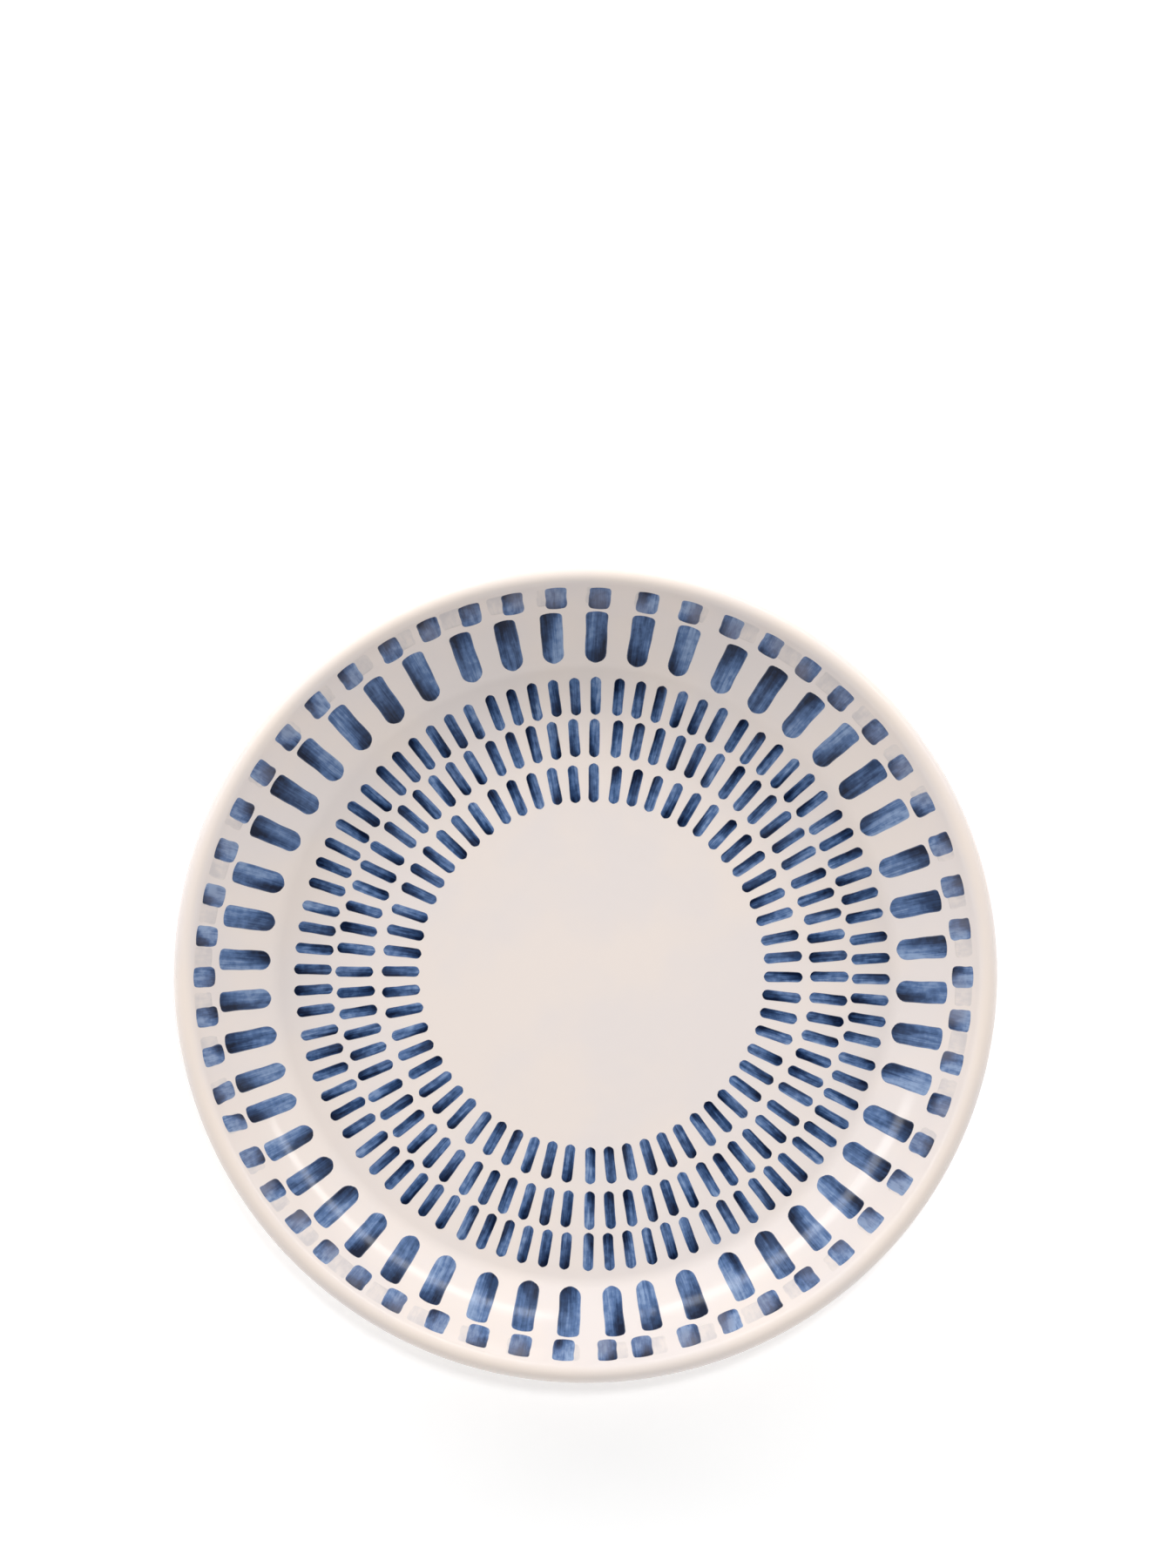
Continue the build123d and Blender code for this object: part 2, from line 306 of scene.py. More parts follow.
def make_piece(name: str, points: np.ndarray, faces: list, material: bpy.types.Material) -> bpy.types.Object:
    """Makes a smooth shaded mesh object at the origin, with its faces turned outwards.

    Args:
        name: The piece's name.
        points: Rows of (x, y, z).
        faces: Arrays of corner numbers.
        material: The piece's material.
    """
    mesh = bpy.data.meshes.new(name)
    mesh.from_pydata(points.tolist(), [], [face.tolist() for face in faces])
    shell = bmesh.new()
    shell.from_mesh(mesh)
    bmesh.ops.recalc_face_normals(shell, faces=shell.faces)
    shell.to_mesh(mesh)
    shell.free()
    mesh.polygons.foreach_set("use_smooth", np.ones(len(mesh.polygons), dtype=bool))
    mesh.set_sharp_from_angle(angle=SHARP_FROM)
    mesh.materials.append(material)
    mesh.update()
    piece = bpy.data.objects.new(name, mesh)
    bpy.context.scene.collection.objects.link(piece)
    return piece


@dataclass(frozen=True)
class TurnedPart:
    """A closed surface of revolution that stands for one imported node.

    Attributes:
        node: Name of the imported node.
        profile: Rows of (radius, height), starting and ending on the axis.
        segments: Number of steps round the axis.
        slot: The record's material slot.
    """

    node: str
    profile: np.ndarray
    segments: int
    slot: str

    def build(self, shape: PlateShape, material: bpy.types.Material) -> bpy.types.Object:
        """Turns the profile about the axis.

        The point of profile row i at angle a is (r cos a, r sin a, z). The first and last rows lie on the
        axis, so each is a single point, closed by a fan. The plate's faults by hand come last.
        """
        rings = self.profile[1:-1]
        angle = np.arange(self.segments) * (2 * math.pi / self.segments)
        x = rings[:, :1] * np.cos(angle)
        y = rings[:, :1] * np.sin(angle)
        body = np.stack((x, y, np.broadcast_to(rings[:, 1:], x.shape)), axis=-1).reshape(-1, 3)
        poles = np.array([[0.0, 0.0, self.profile[0, 1]], [0.0, 0.0, self.profile[-1, 1]]])
        number = np.arange(len(body)).reshape(len(rings), self.segments)
        onward = np.roll(number, -1, axis=1)
        quads = np.stack((number[:-1], number[1:], onward[1:], onward[:-1]), axis=-1).reshape(-1, 4)
        first_fan = np.column_stack((np.full(self.segments, len(body)), number[0], onward[0]))
        last_fan = np.column_stack((np.full(self.segments, len(body) + 1), onward[-1], number[-1]))
        points = shape.by_hand(np.concatenate((body, poles)))
        return make_piece(f"{self.node}_turned", points, [*quads, *first_fan, *last_fan], material)


def turned_parts(shape: PlateShape) -> list[TurnedPart]:
    """The glaze coat, the clay body and the glaze inside the foot, as closed shells.

    The clay is drawn in by a hair under the glaze, so that no two surfaces lie on each other.
    """
    hair = 0.02 * MM
    line = shape.glaze_line
    coat_edge = np.array([[shape.foot_outer + shape.glaze, line], [shape.foot_outer, line]])
    base_edge = np.array([[shape.foot_inner - shape.glaze, line], [shape.foot_inner, line]])
    coat = joined(shape.over_the_lip(shape.glaze), coat_edge, shape.over_the_lip(0.0)[::-1])
    clay = joined(shape.over_the_lip(-hair), shape.under_the_foot(), shape.underside(-hair))
    base = joined(shape.underside(shape.glaze)[::-1], base_edge, shape.underside(0.0))
    return [
        TurnedPart("glaze_coat", coat, COAT_SEGMENTS, "cream_glaze"),
        TurnedPart("clay_body", clay, HIDDEN_SEGMENTS, "fired_clay"),
        TurnedPart("base_glaze", base, HIDDEN_SEGMENTS, "cream_glaze"),
    ]


# ---- Brush strokes ----


def smooth(value: np.ndarray, low: float, high: float) -> np.ndarray:
    """0 below low, 1 above high, and 3 t^2 - 2 t^3 of the share t between them."""
    share = np.clip((value - low) / (high - low), 0.0, 1.0)
    return share * share * (3 - 2 * share)


@dataclass(frozen=True)
class BrushLoad:
    """Where the pigment lies in a stroke.

    Attributes:
        film: Thickness of the palest film, on a scale from 0 to 1.
        outwards: True if the pigment has pooled at the end nearest the lip.
        side: Which side the pigment leans to, from -1 clockwise to 1 counter-clockwise.
        column: How much darker that side is along the whole stroke.
        pool: How much darker the pooled end is.
    """

    film: float
    outwards: bool
    side: float
    column: float
    pool: float

    def pigment(self, u: np.ndarray, v: np.ndarray) -> np.ndarray:
        """Thickness of the pigment, 0 for a pale film and 1 for the darkest pool.

        Args:
            u: 0 at the inner end and 1 at the outer end.
            v: 0 at the clockwise edge and 1 at the other.
        """
        near = u if self.outwards else 1 - u
        lean = self.side * (v - 0.5)
        loaded_side = smooth(lean, -0.05, 0.12)
        pooled = smooth(near + 0.7 * lean, 0.35, 1.15)
        thin_rim = 0.5 * smooth(np.abs(v - 0.5), 0.3, 0.5)
        return self.film + self.column * loaded_side + self.pool * pooled * (1 - 0.35 * thin_rim)


class Touch(Enum):
    """The six touches of the brush, which come round in the same order in every group."""

    SWEPT_IN = BrushLoad(film=0.16, outwards=False, side=1.0, column=0.20, pool=0.55)
    PRESSED_IN = BrushLoad(film=0.36, outwards=False, side=0.25, column=0.08, pool=0.55)
    TRAILED_IN = BrushLoad(film=0.26, outwards=False, side=-0.9, column=0.14, pool=0.62)
    SWEPT_OUT = BrushLoad(film=0.22, outwards=True, side=1.0, column=0.22, pool=0.60)
    PRESSED_OUT = BrushLoad(film=0.34, outwards=True, side=0.3, column=0.06, pool=0.66)
    TRAILED_OUT = BrushLoad(film=0.28, outwards=True, side=0.5, column=0.08, pool=0.72)


class Loading(Enum):
    """How a ring's strokes take their touches."""

    IN_ORDER = "in order"
    AT_RANDOM = "at random"


@dataclass(frozen=True)
class Outline:
    """Size of one ring's strokes, seen from above.

    Attributes:
        length: Length along the stroke, bowed ends included.
        outer_width: Width at the end nearest the lip.
        inner_width: Width at the other end.
        outer_corner: Corner radius at the outer end, as a share of half the width.
        inner_corner: Corner radius at the inner end, as a share of half the width.
        crown: How far the ends bow out.
        end_steps: Steps round each end's corners.
        body_steps: Steps between the ends.
        columns: Where the lengthwise lines run, as shares of half the width.
        uneven: How far the outline strays, as a share of the width.
        on_wall: True if the strokes follow the curve of the wall.
    """

    length: float
    outer_width: float
    inner_width: float
    outer_corner: float
    inner_corner: float
    crown: float
    end_steps: int = 4
    body_steps: int = 6
    columns: tuple[float, ...] = (-1.0, -0.86, -0.45, 0.0, 0.45, 0.86, 1.0)
    uneven: float = 0.03
    on_wall: bool = True

    def lines(self) -> tuple[np.ndarray, np.ndarray]:
        """Where the crosswise lines run, and the half width there.

        At a distance d from an end with corner radius c, the half width w is drawn in to
        w - c + sqrt(c^2 - (c - d)^2).

        Returns:
            Shares of the length from the inner end, and half widths.
        """
        turn = np.linspace(math.radians(18.0), UP, self.end_steps + 1)
        inner = self.inner_corner * self.inner_width / 2
        outer = self.outer_corner * self.outer_width / 2
        inner_at = inner * (1 - np.cos(turn))
        outer_at = self.length - outer * (1 - np.cos(turn[::-1]))
        middle_at = np.linspace(inner_at[-1], outer_at[0], self.body_steps + 1)[1:-1]
        along = np.concatenate((inner_at, middle_at, outer_at)) / self.length
        inner_share = 1 - self.inner_corner * (1 - np.sin(turn))
        outer_share = 1 - self.outer_corner * (1 - np.sin(turn[::-1]))
        share = np.concatenate((inner_share, np.ones(len(middle_at)), outer_share))
        return along, share * (self.inner_width + (self.outer_width - self.inner_width) * along) / 2


@dataclass(frozen=True)
class Spacing:
    """Where the strokes of one ring stand.

    Attributes:
        middle: Distance of the strokes' middles from the ring's centre.
        angles: Each stroke's angle in radians.
        squeeze: Each stroke's width as a share of the full one.
        lean: Each stroke's sideways travel per length, positive towards the seam's far side.
        first: Number of the stroke that starts the first whole group.
        shift: How far the ring's centre lies to the plate's +X side.
    """

    middle: float
    angles: np.ndarray
    squeeze: np.ndarray
    lean: np.ndarray
    first: int = 0
    shift: float = 0.0


def dash_spacing(middle: float, groups: int, start: float, shift: float) -> Spacing:
    """Even groups of six with a slightly wider gap after each, from a start in degrees."""
    wider_gap = 0.112
    period = 2 * math.pi / groups
    step = period / (GROUP_SIZE + wider_gap)
    group, member = np.divmod(np.arange(groups * GROUP_SIZE), GROUP_SIZE)
    angles = math.radians(start) + group * period + member * step
    flat = np.zeros(len(angles))
    return Spacing(middle, angles, flat + 1.0, flat, 0, shift)


def rim_spacing(middle: float, count: int, leaning: float) -> Spacing:
    """Strokes round the rim, squeezed together where the painter closed the ring.

    The gap after stroke i is one even step, less a bell curve centred on the seam, less a pinch at the
    seam and at one short gap, and more after each group.

    Args:
        middle: Distance of the strokes' middles from the axis.
        count: Number of strokes.
        leaning: Steepest lean beside the seam, as sideways travel per length.
    """
    index = np.arange(count)
    from_seam = np.minimum(index + 1, count - 1 - index)
    steps = 1 - 0.12 * np.exp(-((from_seam / 5.0) ** 2))
    steps[from_seam == 0] -= 0.14
    steps[(index > 0) & (index % GROUP_SIZE == 0) & (from_seam > 0)] += 0.10
    steps[round((SHORT_GAP - SEAM) * count / (2 * math.pi))] -= 0.2
    turns = np.concatenate(([0.0], np.cumsum(steps)[:-1])) * 2 * math.pi / steps.sum()
    squeeze = np.minimum(1.0, (steps + np.roll(steps, 1)) / 2)
    before_seam = 2 * math.pi - turns
    upper_left = 0.35 * np.exp(-(((SEAM + turns) % (2 * math.pi) - math.radians(122.0)) / 0.5) ** 2)
    lean = leaning * (np.exp(-before_seam / 0.22) - np.exp(-turns / 0.22) - upper_left)
    return Spacing(middle, SEAM + turns, squeeze, lean, 1, RIM_SHIFT)


@dataclass(frozen=True)
class Relief:
    """How a stroke stands on the glaze.

    Attributes:
        edge: Lift of its outline.
        middle: Lift inside the outline.
        root: Depth of its hidden underside.
    """

    edge: float = 0.03 * MM
    middle: float = 0.055 * MM
    root: float = 0.06 * MM


@dataclass(frozen=True)
class StrokeRing:
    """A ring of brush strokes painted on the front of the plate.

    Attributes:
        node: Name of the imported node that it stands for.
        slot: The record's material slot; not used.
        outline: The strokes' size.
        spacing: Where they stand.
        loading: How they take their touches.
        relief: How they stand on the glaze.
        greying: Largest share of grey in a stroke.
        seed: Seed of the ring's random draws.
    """

    node: str
    slot: str
    outline: Outline
    spacing: Spacing
    loading: Loading
    relief: Relief
    greying: float
    seed: int

    def plan(self) -> tuple[np.ndarray, np.ndarray]:
        """Each stroke's grid, seen from above.

        Returns:
            Distances towards the lip and counter-clockwise, both shaped (strokes, rows, columns).
        """
        rng = np.random.default_rng(self.seed)
        outline, spacing = self.outline, self.spacing
        count = len(spacing.angles)
        along, half = outline.lines()
        across = np.array(outline.columns)
        phase = rng.uniform(0, 2 * math.pi, (count, 1, 2))
        slow = np.sin(2 * math.pi * 0.8 * along[None, :, None] + phase)
        quick = np.sin(2 * math.pi * 2.1 * along[None, :, None] + 2 * phase)
        waver = 1 + outline.uneven * (slow + 0.5 * quick)
        side = np.where(across < 0, waver[:, :, :1], waver[:, :, 1:])
        width = half[None, :, None] * spacing.squeeze[:, None, None] * side
        stretch = 1 + rng.normal(0, outline.uneven / 3, count)[:, None, None]
        slide = rng.normal(0, 0.12 * MM, count)[:, None, None]
        bow = outline.crown * ((2 * along - 1)[:, None] ** 5) * (1 - across**2)
        straight = (along - 0.5)[:, None] * (outline.length - 2 * outline.crown)
        lengthwise = (straight + bow)[None] * stretch + slide
        return lengthwise, width * across + spacing.lean[:, None, None] * lengthwise

    def on_plate(
        self, shape: PlateShape, lengthwise: np.ndarray, sideways: np.ndarray, lift: np.ndarray
    ) -> np.ndarray:
        """Points (x, y, z) over plan positions of each stroke, a lift off the curved front of the plate."""
        turn = self.spacing.angles[:, None]
        out = self.spacing.middle + lengthwise
        x = self.spacing.shift + out * np.cos(turn) - sideways * np.sin(turn)
        y = out * np.sin(turn) + sideways * np.cos(turn)
        return np.stack((x, y, shape.front_height(np.hypot(x, y), lift)), axis=-1)

    def build(self, shape: PlateShape, material: bpy.types.Material) -> bpy.types.Object:
        """Makes the ring as one piece of separate closed strokes.

        A stroke's top is a grid laid on the plate, and so is its hidden underside, deeper in the glaze.
        A skirt joins their borders. In the level well the underside is a single face.

        Returns:
            The object, with a UV map along and across the strokes and the paint's attributes.
        """
        lengthwise, sideways = self.plan()
        count, rows, columns = lengthwise.shape
        number = np.arange(rows * columns).reshape(rows, columns)
        border = np.concatenate((number[0, :-1], number[:-1, -1], number[-1, :0:-1], number[:0:-1, 0]))
        inside = np.ones(rows * columns)
        inside[border] = 0.0
        flat_length, flat_side = lengthwise.reshape(count, -1), sideways.reshape(count, -1)
        lift = self.relief.edge + (self.relief.middle - self.relief.edge) * inside
        under = number.ravel() if self.outline.on_wall else border
        deep = np.full(len(under), -self.relief.root)
        top = self.on_plate(shape, flat_length, flat_side, lift)
        root = self.on_plate(shape, flat_length[:, under], flat_side[:, under], deep)
        low = rows * columns + (border if self.outline.on_wall else np.arange(len(border)))
        tops = np.stack((number[:-1, :-1], number[1:, :-1], number[1:, 1:], number[:-1, 1:]), axis=-1)
        skirt = np.column_stack((border, np.roll(border, -1), np.roll(low, -1), low))
        sheets = [tops.reshape(-1, 4), skirt]
        if self.outline.on_wall:
            sheets.append(tops.reshape(-1, 4)[:, ::-1] + rows * columns)
        starts = np.arange(count)[:, None, None] * (rows * columns + len(under))
        faces = list((np.concatenate(sheets) + starts).reshape(-1, 4))
        if not self.outline.on_wall:
            faces += list((low + starts).reshape(count, -1))
        points = shape.by_hand(np.concatenate((top, root), axis=1).reshape(-1, 3))
        piece = make_piece(f"{self.node}_painted", points, faces, material)
        order = np.concatenate((number.ravel(), under))
        self.load_brush(piece, flat_length[:, order], flat_side[:, order], inside[order])
        return piece

    def load_brush(
        self, piece: bpy.types.Object, lengthwise: np.ndarray, sideways: np.ndarray, inside: np.ndarray
    ) -> None:
        """Stores each stroke's own map, and how thickly and how grey the pigment lies.

        Args:
            piece: The ring.
            lengthwise: Each point's distance along its stroke.
            sideways: Each point's distance across it.
            inside: 0 on the outline and 1 inside it.
        """
        rng = np.random.default_rng(self.seed + 1)
        count = len(self.spacing.angles)
        u = 0.5 + lengthwise / self.outline.length
        v = 0.5 + sideways / self.outline.outer_width
        member = (np.arange(count) - self.spacing.first) % GROUP_SIZE
        if self.loading is Loading.AT_RANDOM:
            member = rng.integers(0, GROUP_SIZE, count)
        pigment = np.zeros_like(u)
        for number, touch in enumerate(Touch):
            chosen = member == number
            pigment[chosen] = touch.value.pigment(u[chosen], v[chosen])
        pigment += rng.normal(0, 0.05, count)[:, None]
        patch_u, patch_v = rng.uniform(0.1, 0.9, (2, count, 1))
        away = np.hypot(0.8 * (u - patch_u), v - patch_v)
        grey = self.greying * rng.uniform(0, 1, (count, 1)) ** 0.6 * (1 - smooth(away, 0.15, 0.75))
        values = {
            "pigment": pigment,
            "grey": grey,
            "inside": np.broadcast_to(inside, u.shape),
            "stroke_seed": np.broadcast_to(rng.uniform(0, 10, (count, 1)), u.shape),
        }
        for name, value in values.items():
            attribute = piece.data.attributes.new(name, "FLOAT", "POINT")
            attribute.data.foreach_set("value", value.astype(np.float32).ravel())
        corners = np.zeros(len(piece.data.loops), dtype=np.int32)
        piece.data.loops.foreach_get("vertex_index", corners)
        uv = np.column_stack((u.ravel()[corners], v.ravel()[corners]))
        piece.data.uv_layers.new(name="stroke").data.foreach_set("uv", uv.astype(np.float32).ravel())


def dash_rings(shape: PlateShape) -> list[StrokeRing]:
    """The three rings of short dashes in the well, set down a little to one side of the axis."""
    edge_to_outer, outer_to_middle, middle_to_inner = 1.85 * MM, 0.9 * MM, 2.3 * MM
    low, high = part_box("inner_dashes")
    shift = (low.x + high.x) / 2
    outline = Outline(
        length=13.5 * MM, outer_width=3.6 * MM, inner_width=3.6 * MM, outer_corner=0.92, inner_corner=0.92,
        crown=0.25 * MM, end_steps=3, body_steps=3, columns=(-1.0, -0.8, 0.0, 0.8, 1.0), on_wall=False,
    )
    outer = shape.well_radius - edge_to_outer - outline.length / 2
    middle = outer - outline.length - outer_to_middle
    inner = middle - outline.length - middle_to_inner
    # Each ring's node, radius, number of groups, start in degrees and seed.
    plans = [
        ("outer_dashes", outer, 14, 12.1, 31),
        ("middle_dashes", middle, 12, 29.4, 32),
        ("inner_dashes", inner, 10, 17.5, 33),
    ]
    return [
        StrokeRing(
            node, "blue_paint", outline, dash_spacing(radius, groups, start, shift),
            Loading.IN_ORDER, Relief(), greying=0.15, seed=seed,
        )
        for node, radius, groups, start, seed in plans
    ]


def rim_rings(shape: PlateShape) -> list[StrokeRing]:
    """The long strokes up the wall, and the squares and pale washes under the lip."""
    square_to_lip, square_to_stroke, stroke_to_well, wash_inset = 0.2 * MM, 0.7 * MM, 2.9 * MM, 1.4 * MM
    square = Outline(
        length=6.8 * MM, outer_width=7.4 * MM, inner_width=7.4 * MM, outer_corner=0.22, inner_corner=0.42,
        crown=0.25 * MM,
    )
    square_middle = shape.wall_top() - square_to_lip + RIM_SHIFT - square.length / 2
    stroke_end = square_middle - square.length / 2 - square_to_stroke
    stroke_start = shape.well_radius + stroke_to_well
    stroke = Outline(
        length=stroke_end - stroke_start, outer_width=7.9 * MM, inner_width=7.2 * MM, outer_corner=0.36,
        inner_corner=0.92, crown=0.4 * MM, body_steps=8,
    )
    wash = Outline(
        length=5.4 * MM, outer_width=8.2 * MM, inner_width=8.2 * MM, outer_corner=0.25, inner_corner=0.25,
        crown=0.1 * MM, end_steps=2, uneven=0.05,
    )
    wash_middle = square_middle - square.length / 2 + wash_inset + wash.length / 2
    stroke_spacing = rim_spacing((stroke_start + stroke_end) / 2, WALL_STROKE_COUNT, 0.05)
    square_spacing = rim_spacing(square_middle, RIM_SQUARE_COUNT, 0.26)
    wash_spacing = rim_spacing(wash_middle, WALL_STROKE_COUNT, 0.1)
    thin = Relief(edge=0.010 * MM, middle=0.018 * MM)
    return [
        StrokeRing(
            "wall_strokes", "blue_paint", stroke, stroke_spacing,
            Loading.IN_ORDER, Relief(), greying=0.12, seed=34,
        ),
        StrokeRing(
            "rim_squares", "blue_paint", square, square_spacing,
            Loading.AT_RANDOM, Relief(), greying=0.6, seed=35,
        ),
        StrokeRing(
            "rim_washes", "grey_wash", wash, wash_spacing,
            Loading.AT_RANDOM, thin, greying=0.3, seed=36,
        ),
    ]


# ---- Finishes ----


def linear(red: int, green: int, blue: int) -> tuple[float, float, float, float]:
    """A colour given as 0 to 255 display values, as linear light."""
    share = np.array([red, green, blue]) / 255
    light = np.where(share <= 0.04045, share / 12.92, ((share + 0.055) / 1.055) ** 2.4)
    return (*(float(value) for value in light), 1.0)


class Shader:
    """A material's node tree, with short ways to add the nodes that the finishes share."""

    def __init__(self, name: str) -> None:
        """Makes the material with an empty node tree."""
        self.material = bpy.data.materials.new(name)
        self.material.use_nodes = True
        self.tree = self.material.node_tree
        self.tree.nodes.clear()

    def add(self, kind: str, inputs: dict[str | int, object], **settings: object) -> bpy.types.Node:
        """Adds a node, with values or sockets for its inputs and values for its own properties."""
        node = self.tree.nodes.new(kind)
        for name, value in settings.items():
            setattr(node, name, value)
        for name, value in inputs.items():
            if isinstance(value, bpy.types.NodeSocket):
                self.tree.links.new(value, node.inputs[name])
            else:
                node.inputs[name].default_value = value
        return node

    def place(self) -> bpy.types.NodeSocket:
        """The point's own place on the object, in metres."""
        return self.add("ShaderNodeTexCoord", {}).outputs["Object"]

    def attribute(self, name: str) -> bpy.types.NodeSocket:
        """The value of one of the mesh's attributes."""
        return self.add("ShaderNodeAttribute", {}, attribute_name=name).outputs["Fac"]

    def noise(self, at: bpy.types.NodeSocket, scale: float, detail: float) -> bpy.types.NodeSocket:
        """Noise from 0 to 1, finer as the scale grows."""
        return self.add("ShaderNodeTexNoise", {"Vector": at, "Scale": scale, "Detail": detail}).outputs["Fac"]

    def math(self, operation: str, first: object, second: object) -> bpy.types.NodeSocket:
        """The result of one sum, named as the node names it."""
        return self.add("ShaderNodeMath", {0: first, 1: second}, operation=operation).outputs[0]

    def remap(
        self, value: object, low: float, high: float, to_low: float, to_high: float
    ) -> bpy.types.NodeSocket:
        """A value moved from one range to another and held inside it, with soft ends."""
        inputs = {"Value": value, "From Min": low, "From Max": high, "To Min": to_low, "To Max": to_high}
        return self.add("ShaderNodeMapRange", inputs, interpolation_type="SMOOTHSTEP").outputs["Result"]

    def mix(self, share: object, first: object, second: object) -> bpy.types.NodeSocket:
        """A colour between two others."""
        node = self.add("ShaderNodeMix", {0: share, 6: first, 7: second}, data_type="RGBA")
        return node.outputs[2]

    def ramp(self, value: object, stops: list[tuple[float, tuple[float, ...]]]) -> bpy.types.NodeSocket:
        """A colour looked up between stops of place and colour."""
        node = self.add("ShaderNodeValToRGB", {"Fac": value})
        elements = node.color_ramp.elements
        elements[0].position, elements[0].color = stops[0]
        elements[1].position, elements[1].color = stops[-1]
        for position, colour in stops[1:-1]:
            elements.new(position).color = colour
        return node.outputs["Color"]

    def bump(self, height: object, distance: float) -> bpy.types.NodeSocket:
        """A normal tilted by a height that spans a distance."""
        inputs = {"Height": height, "Distance": distance, "Strength": 1.0}
        return self.add("ShaderNodeBump", inputs).outputs["Normal"]

    def glaze_skin(self, place: bpy.types.NodeSocket) -> bpy.types.NodeSocket:
        """The faint unevenness of the gloss, over glaze and paint alike."""
        return self.bump(self.noise(place, 260.0, 2.0), 0.008 * MM)

    def finish(self, inputs: dict[str, object]) -> bpy.types.Material:
        """The material, once the surface shader and its output are added."""
        surface = self.add("ShaderNodeBsdfPrincipled", inputs)
        self.add("ShaderNodeOutputMaterial", {"Surface": surface.outputs["BSDF"]})
        return self.material


@dataclass(frozen=True)
class GlazeFinish:
    """Glossy cream glaze, faintly clouded, with a few fine specks.

    Attributes:
        cream: Its colour.
        warm: Its colour where it runs thin over the lip.
        cool: Its colour in the thicker clouds.
        speck: Colour of the specks.
        roughness: Roughness of the gloss.
        lip_height: Height at which it starts to run thin.
    """

    lip_height: float
    cream: tuple[float, ...] = linear(229, 218, 211)
    warm: tuple[float, ...] = linear(232, 217, 203)
    cool: tuple[float, ...] = linear(225, 216, 212)
    speck: tuple[float, ...] = linear(96, 78, 66)
    roughness: float = GLOSS

    def build(self) -> bpy.types.Material:
        """Makes the material."""
        shader = Shader("cream glaze")
        place = shader.place()
        clouds = shader.remap(shader.noise(place, 28.0, 3.0), 0.38, 0.66, 0.0, 1.0)
        body = shader.mix(clouds, self.cream, self.cool)
        height = shader.add("ShaderNodeSeparateXYZ", {0: place}).outputs["Z"]
        lip = shader.remap(height, self.lip_height, self.lip_height + 2.0 * MM, 0.0, 0.6)
        body = shader.mix(lip, body, self.warm)
        cells = shader.add("ShaderNodeTexVoronoi", {"Vector": place, "Scale": 110.0, "Randomness": 1.0})
        pick = shader.add("ShaderNodeSeparateColor", {0: cells.outputs["Color"]})
        chosen = shader.math("GREATER_THAN", pick.outputs["Red"], 0.965)
        size = shader.remap(pick.outputs["Green"], 0.0, 1.0, 0.014, 0.034)
        dot = shader.math("LESS_THAN", cells.outputs["Distance"], size)
        specks = shader.math("MULTIPLY", shader.math("MULTIPLY", chosen, dot), 0.7)
        colour = shader.mix(specks, body, self.speck)
        smears = shader.noise(place, 60.0, 2.0)
        gloss = shader.remap(smears, 0.3, 0.7, self.roughness - 0.03, self.roughness + 0.04)
        skin = shader.glaze_skin(place)
        return shader.finish({"Base Color": colour, "Roughness": gloss, "IOR": GLAZE_IOR, "Normal": skin})


@dataclass(frozen=True)
class ClayFinish:
    """Bare fired clay, seen only on the foot, with turning lines and grit.

    Attributes:
        buff: Its colour.
        dark: Its colour in the turning lines and where the foot has rubbed on shelves.
        grit: Colour of the grit.
    """

    buff: tuple[float, ...] = linear(206, 183, 158)
    dark: tuple[float, ...] = linear(168, 142, 118)
    grit: tuple[float, ...] = linear(112, 88, 70)

    def build(self) -> bpy.types.Material:
        """Makes the material, with lines that follow the distance from the axis."""
        shader = Shader("fired clay")
        place = shader.place()
        flat = shader.add("ShaderNodeVectorMath", {0: place, 1: (1.0, 1.0, 0.0)}, operation="MULTIPLY")
        reach = shader.add("ShaderNodeVectorMath", {0: flat.outputs["Vector"]}, operation="LENGTH")
        across = shader.math("MULTIPLY", reach.outputs["Value"], 900.0)
        down = shader.add("ShaderNodeSeparateXYZ", {0: place}).outputs["Z"]
        lines_at = shader.add("ShaderNodeCombineXYZ", {0: across, 1: shader.math("MULTIPLY", down, 900.0)})
        lines = shader.noise(lines_at.outputs["Vector"], 1.0, 3.0)
        rubbed = shader.remap(shader.noise(place, 45.0, 3.0), 0.45, 0.75, 0.0, 0.5)
        tone = shader.math("MAXIMUM", shader.remap(lines, 0.35, 0.75, 0.0, 0.7), rubbed)
        body = shader.mix(tone, self.buff, self.dark)
        grains = shader.add("ShaderNodeTexVoronoi", {"Vector": place, "Scale": 700.0})
        grit = shader.remap(grains.outputs["Distance"], 0.08, 0.16, 0.55, 0.0)
        colour = shader.mix(grit, body, self.grit)
        rough = shader.bump(shader.math("ADD", lines, shader.noise(place, 1500.0, 2.0)), 0.08 * MM)
        return shader.finish({"Base Color": colour, "Roughness": 0.86, "Normal": rough})


